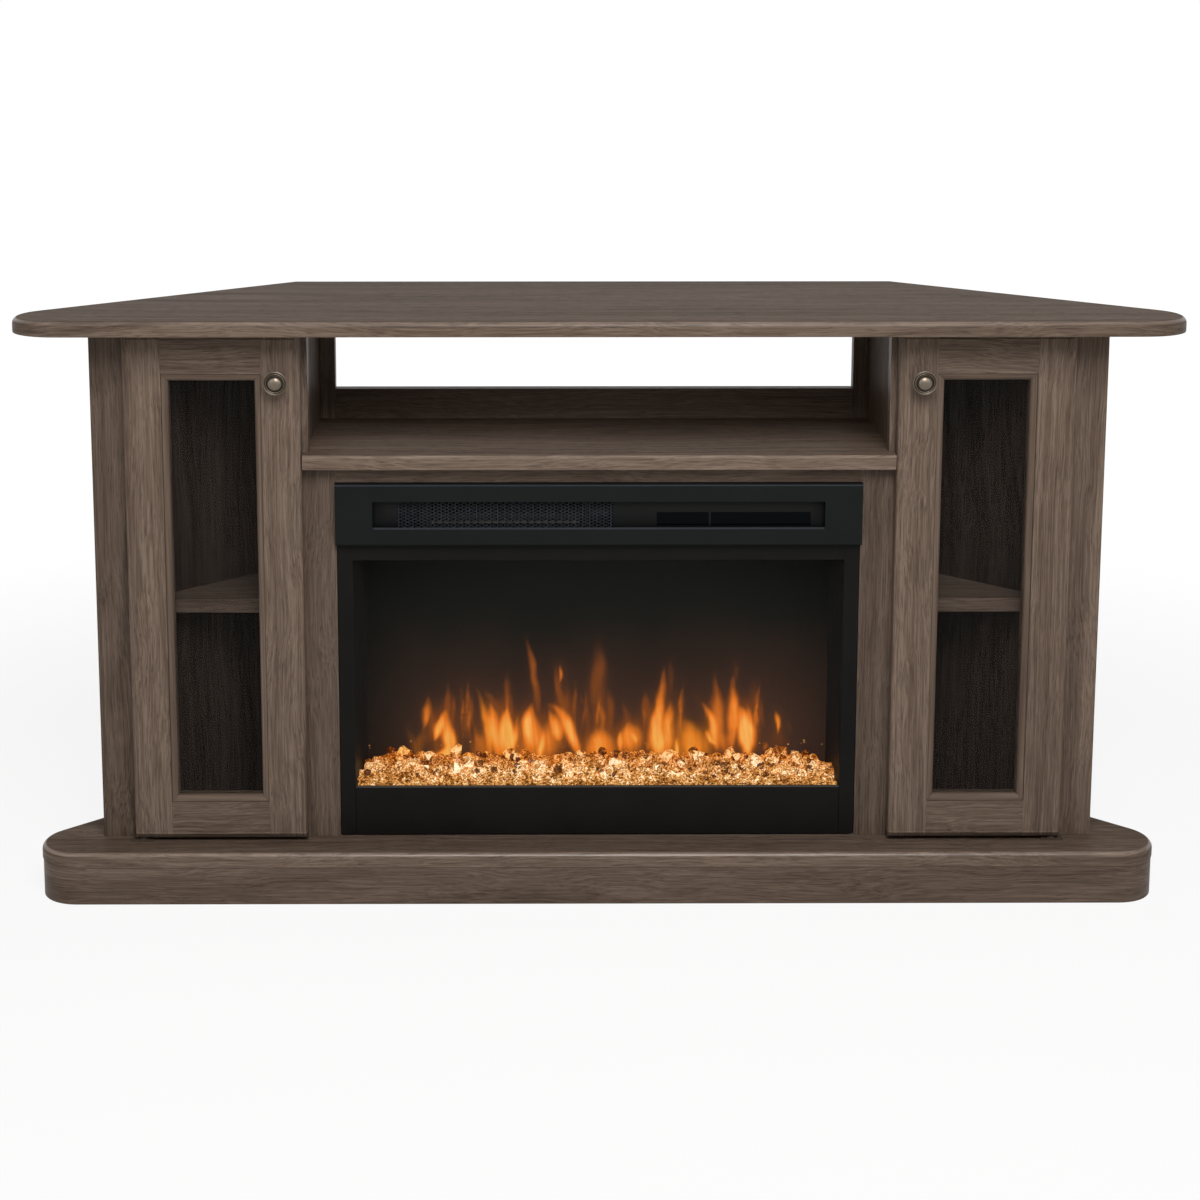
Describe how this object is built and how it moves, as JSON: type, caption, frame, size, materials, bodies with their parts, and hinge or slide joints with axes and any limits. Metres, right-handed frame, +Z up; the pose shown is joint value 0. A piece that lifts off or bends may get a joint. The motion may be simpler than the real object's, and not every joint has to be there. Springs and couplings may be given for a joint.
{
  "type": "corner fireplace",
  "caption": "Corner media console with an electric firebox, an open shelf and glazed side doors, cut at 45 degrees to stand in a room's corner.",
  "frame": {"origin": "on the floor, under the centre of the top's bounding box", "axes": "+X to the right seen from the front, +Y towards the room's corner, +Z up; the doors and the firebox face -Y"},
  "size_m": [1.448, 0.401, 0.747],
  "materials": {
    "wood": "grey-brown woodgrain, satin",
    "door_glass": "clear, polished",
    "window_glass": "clear, polished",
    "aged_brass": "aged, brushed",
    "brass": "turned",
    "steel": "zinc plated",
    "black_steel": "black powder coat, fine satin",
    "dark_acrylic": "gloss black",
    "ember_acrylic": "clear amber, faceted",
    "screen_acrylic": "smoked, half mirror",
    "mirror_foil": "bright",
    "circuit_board": "solder mask",
    "ceramic": "unglazed",
    "black_plastic": "moulded"
  },
  "bodies": {
    "cabinet": {"top_slab": "wood", "base_board": "wood", "skirt_front": "wood", "skirt_sides": "wood", "skirt_back": "wood", "base_battens": "wood", "left_outer_stile": "wood", "right_outer_stile": "wood", "left_angled_panel": "wood", "right_angled_panel": "wood", "left_inner_panel": "wood", "right_inner_panel": "wood", "media_shelf": "wood", "back_posts": "wood", "back_rails": "wood", "left_surround_stile": "wood", "right_surround_stile": "wood", "surround_rail": "wood", "bay_stiles": "wood", "tower_shelves": "wood", "case_cleats": "wood", "shelf_pins": "steel", "door_pivots": "steel", "door_magnets": "steel", "firebox_case": "black_steel", "firebox_hood": "black_steel", "window_frame": "black_steel", "lower_panel": "black_steel", "window_glass": "window_glass", "heater_grille": "black_steel", "control_display": "dark_acrylic", "ember_bed": "ember_acrylic", "flame_screen": "screen_acrylic", "flicker_motor": "steel", "led_board": "circuit_board", "heater_housing": "steel", "heater_element": "ceramic", "blower_motor": "steel", "firebox_brackets": "steel", "power_gland": "black_plastic"},
    "left_door": {"left_hinge_stile": "wood", "left_knob_stile": "wood", "left_top_rail": "wood", "left_bottom_rail": "wood", "left_bead": "wood", "left_glass": "door_glass", "left_knob": "aged_brass", "left_bushes": "brass", "left_strike": "steel"},
    "right_door": {"right_hinge_stile": "wood", "right_knob_stile": "wood", "right_top_rail": "wood", "right_bottom_rail": "wood", "right_bead": "wood", "right_glass": "door_glass", "right_knob": "aged_brass", "right_bushes": "brass", "right_strike": "steel"},
    "flicker_spindle": {"flicker_spindle": "mirror_foil"},
    "blower_wheel": {"blower_wheel": "mirror_foil"}
  },
  "joints": [
    {"name": "left_door_hinge", "type": "hinge", "parent": "cabinet", "child": "left_door", "pos_m": [-0.58172, -0.1395, 0.4], "axis": [0, 0, -1], "range_deg": [0, 105]},
    {"name": "right_door_hinge", "type": "hinge", "parent": "cabinet", "child": "right_door", "pos_m": [0.58172, -0.1395, 0.4], "axis": [0, 0, 1], "range_deg": [0, 105]},
    {"name": "flicker_spin", "type": "hinge", "parent": "cabinet", "child": "flicker_spindle", "pos_m": [0, -0.0335, 0.1125], "axis": [1, 0, 0], "continuous": true},
    {"name": "blower_spin", "type": "hinge", "parent": "cabinet", "child": "blower_wheel", "pos_m": [-0.1175, -0.0675, 0.4822], "axis": [1, 0, 0], "continuous": true}
  ]
}
